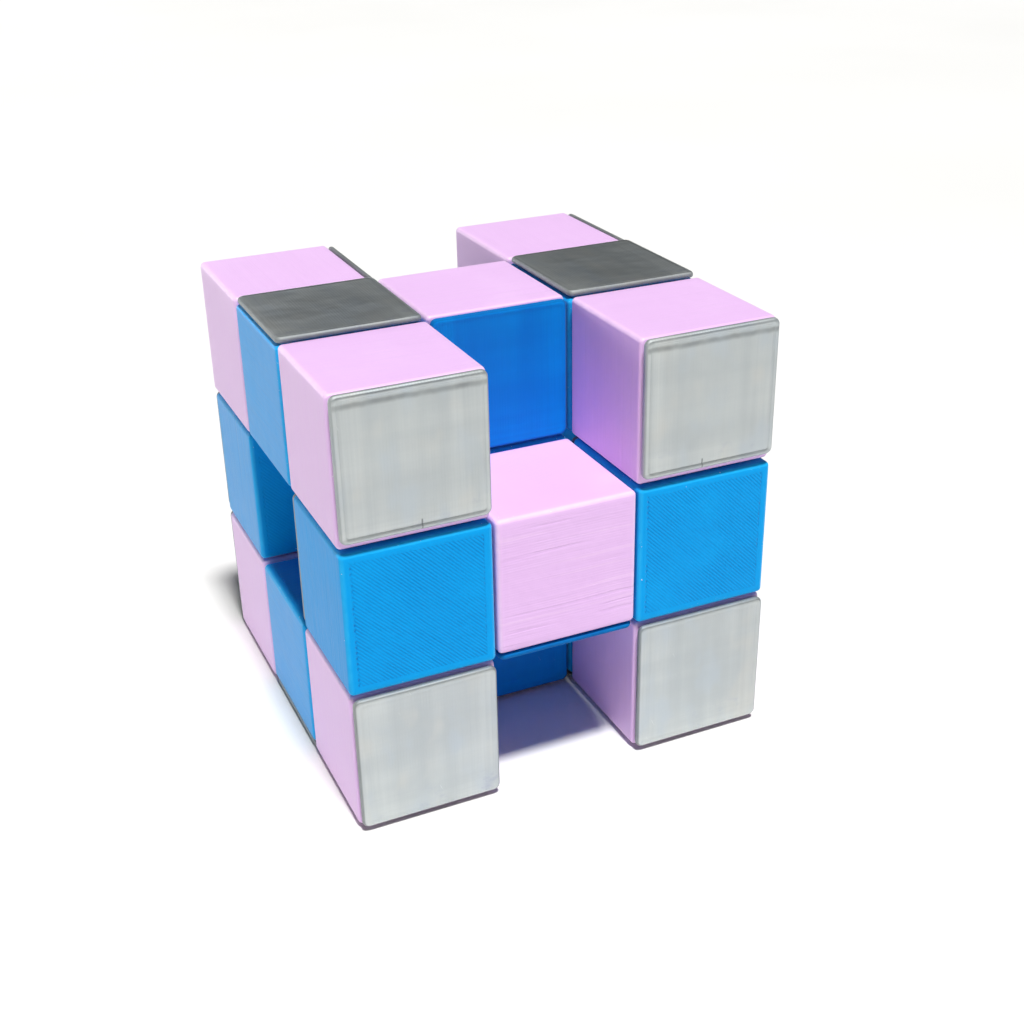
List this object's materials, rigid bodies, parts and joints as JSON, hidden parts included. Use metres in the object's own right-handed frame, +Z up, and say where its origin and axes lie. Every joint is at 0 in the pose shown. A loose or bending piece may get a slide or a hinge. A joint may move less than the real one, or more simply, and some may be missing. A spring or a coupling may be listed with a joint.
{
  "type": "twisty snake puzzle",
  "caption": "Chain of hollow printed cubes with glued lid plates, swivelling end to end on snap pins, folded into an open block.",
  "frame": {"origin": "middle of the bounding box's underside, on the plane of the two bottom lids that the block rests on", "axes": "+X along the front from the left column to the right column, +Y from the front to the back, +Z up"},
  "size_m": [0.0662, 0.0666, 0.0667],
  "materials": {
    "pink_shell": "printed pale lilac-pink plastic, fine layer lines, soft sheen",
    "blue_shell": "printed sky blue plastic, diagonal raster on the closed faces, soft sheen",
    "silver_lid": "silk silver printed plastic with a metallic sheen",
    "blue_lid": "printed sky blue plastic, soft sheen",
    "pink_lid": "printed pale lilac-pink plastic, soft sheen",
    "ivory_pin": "printed natural white plastic, not seen when assembled"
  },
  "bodies": {
    "cube_01": {"shell_01": "pink_shell", "lid_01": "silver_lid"},
    "cube_02": {"shell_02": "blue_shell", "lid_02": "silver_lid", "pin_02_03": "ivory_pin"},
    "cube_03": {"shell_03": "pink_shell", "lid_03": "silver_lid", "pin_03_04": "ivory_pin"},
    "cube_04": {"shell_04": "blue_shell", "lid_04": "silver_lid", "pin_04_05": "ivory_pin"},
    "cube_05": {"shell_05": "pink_shell", "lid_05": "silver_lid", "pin_05_06": "ivory_pin"},
    "cube_06": {"shell_06": "blue_shell", "lid_06": "pink_lid", "pin_06_07": "ivory_pin"},
    "cube_07": {"shell_07": "pink_shell", "lid_07": "blue_lid", "pin_07_08": "ivory_pin"},
    "cube_08": {"shell_08": "blue_shell", "lid_08": "silver_lid", "pin_08_09": "ivory_pin"},
    "cube_09": {"shell_09": "pink_shell", "lid_09": "silver_lid", "pin_09_10": "ivory_pin"},
    "cube_10": {"shell_10": "blue_shell", "lid_10": "silver_lid", "pin_10_11": "ivory_pin"},
    "cube_11": {"shell_11": "pink_shell", "lid_11": "blue_lid", "pin_11_12": "ivory_pin"},
    "cube_12": {"shell_12": "blue_shell", "lid_12": "pink_lid", "pin_12_13": "ivory_pin"},
    "cube_13": {"shell_13": "pink_shell", "lid_13": "blue_lid", "pin_13_14": "ivory_pin"},
    "cube_14": {"shell_14": "blue_shell", "lid_14": "silver_lid", "pin_14_15": "ivory_pin"},
    "cube_15": {"shell_15": "pink_shell", "lid_15": "silver_lid", "pin_15_16": "ivory_pin"},
    "cube_16": {"shell_16": "blue_shell", "lid_16": "silver_lid", "pin_16_17": "ivory_pin"},
    "cube_17": {"shell_17": "pink_shell", "lid_17": "silver_lid", "pin_17_18": "ivory_pin"},
    "cube_18": {"shell_18": "blue_shell", "lid_18": "silver_lid"},
    "cube_19": {"shell_19": "pink_shell", "lid_19": "silver_lid", "pin_18_19": "ivory_pin"},
    "cube_20": {"shell_20": "blue_shell", "lid_20": "silver_lid", "pin_19_20": "ivory_pin"},
    "cube_21": {"shell_21": "pink_shell", "lid_21": "silver_lid"}
  },
  "joints": [
    {"name": "swivel_01_02", "type": "hinge", "parent": "cube_02", "child": "cube_01", "pos_m": [-0.02227, -0.011, 0.05535], "axis": [0, -1, 0], "range_deg": [-2, 2]},
    {"name": "swivel_02_03", "type": "hinge", "parent": "cube_03", "child": "cube_02", "pos_m": [-0.02227, 0.011, 0.05535], "axis": [0, 1, 0], "range_deg": [-2, 1.9]},
    {"name": "swivel_03_04", "type": "hinge", "parent": "cube_04", "child": "cube_03", "pos_m": [-0.02227, 0.022, 0.04435], "axis": [0, 0, -1], "range_deg": [0, 180]},
    {"name": "swivel_04_05", "type": "hinge", "parent": "cube_05", "child": "cube_04", "pos_m": [-0.02227, 0.022, 0.02235], "axis": [0, 0, -1], "range_deg": [0, 180]},
    {"name": "swivel_05_06", "type": "hinge", "parent": "cube_06", "child": "cube_05", "pos_m": [-0.01128, 0.022, 0.01135], "axis": [1, 0, 0], "range_deg": [-2, 0.3]},
    {"name": "swivel_06_07", "type": "hinge", "parent": "cube_07", "child": "cube_06", "pos_m": [-0.00028, 0.011, 0.01135], "axis": [0, 1, 0], "range_deg": [-0.55, 0.3]},
    {"name": "swivel_07_08", "type": "hinge", "parent": "cube_08", "child": "cube_07", "pos_m": [-0.01128, 0, 0.01135], "axis": [-1, 0, 0], "range_deg": [-0.55, 1.9]},
    {"name": "swivel_08_09", "type": "hinge", "parent": "cube_09", "child": "cube_08", "pos_m": [-0.02227, -0.011, 0.01135], "axis": [0, 1, 0], "range_deg": [-0.3, 0.3]},
    {"name": "swivel_09_10", "type": "hinge", "parent": "cube_10", "child": "cube_09", "pos_m": [-0.02227, -0.022, 0.02235], "axis": [0, 0, 1], "range_deg": [0, 8]},
    {"name": "swivel_10_11", "type": "hinge", "parent": "cube_11", "child": "cube_10", "pos_m": [-0.01128, -0.022, 0.03335], "axis": [-1, 0, 0], "range_deg": [0, 180]},
    {"name": "swivel_11_12", "type": "hinge", "parent": "cube_12", "child": "cube_11", "pos_m": [-0.00028, -0.011, 0.03335], "axis": [0, 1, 0], "range_deg": [-0.55, 0.3]},
    {"name": "swivel_12_13", "type": "hinge", "parent": "cube_13", "child": "cube_12", "pos_m": [-0.00028, 0, 0.04435], "axis": [0, 0, -1], "range_deg": [-0.55, 0.55]},
    {"name": "swivel_13_14", "type": "hinge", "parent": "cube_14", "child": "cube_13", "pos_m": [0.01073, 0, 0.05535], "axis": [-1, 0, 0], "continuous": true},
    {"name": "swivel_14_15", "type": "hinge", "parent": "cube_15", "child": "cube_14", "pos_m": [0.02173, 0.011, 0.05535], "axis": [0, 1, 0], "range_deg": [0, 7]},
    {"name": "swivel_15_16", "type": "hinge", "parent": "cube_16", "child": "cube_15", "pos_m": [0.02173, 0.022, 0.04435], "axis": [0, 0, 1], "range_deg": [-2, 0.3]},
    {"name": "swivel_16_17", "type": "hinge", "parent": "cube_17", "child": "cube_16", "pos_m": [0.02173, 0.022, 0.02235], "axis": [0, 0, 1], "range_deg": [-2, 0.3]},
    {"name": "swivel_17_18", "type": "hinge", "parent": "cube_18", "child": "cube_17", "pos_m": [0.02173, 0.011, 0.01135], "axis": [0, 1, 0], "range_deg": [-1.9, 0.55]},
    {"name": "swivel_18_19", "type": "hinge", "parent": "cube_18", "child": "cube_19", "pos_m": [0.02173, -0.011, 0.01135], "axis": [0, 1, 0], "range_deg": [0, 7]},
    {"name": "swivel_19_20", "type": "hinge", "parent": "cube_19", "child": "cube_20", "pos_m": [0.02173, -0.022, 0.02235], "axis": [0, 0, 1], "range_deg": [-2, 0.25]},
    {"name": "swivel_20_21", "type": "hinge", "parent": "cube_20", "child": "cube_21", "pos_m": [0.02173, -0.022, 0.04435], "axis": [0, 0, 1], "range_deg": [-2, 2]}
  ]
}
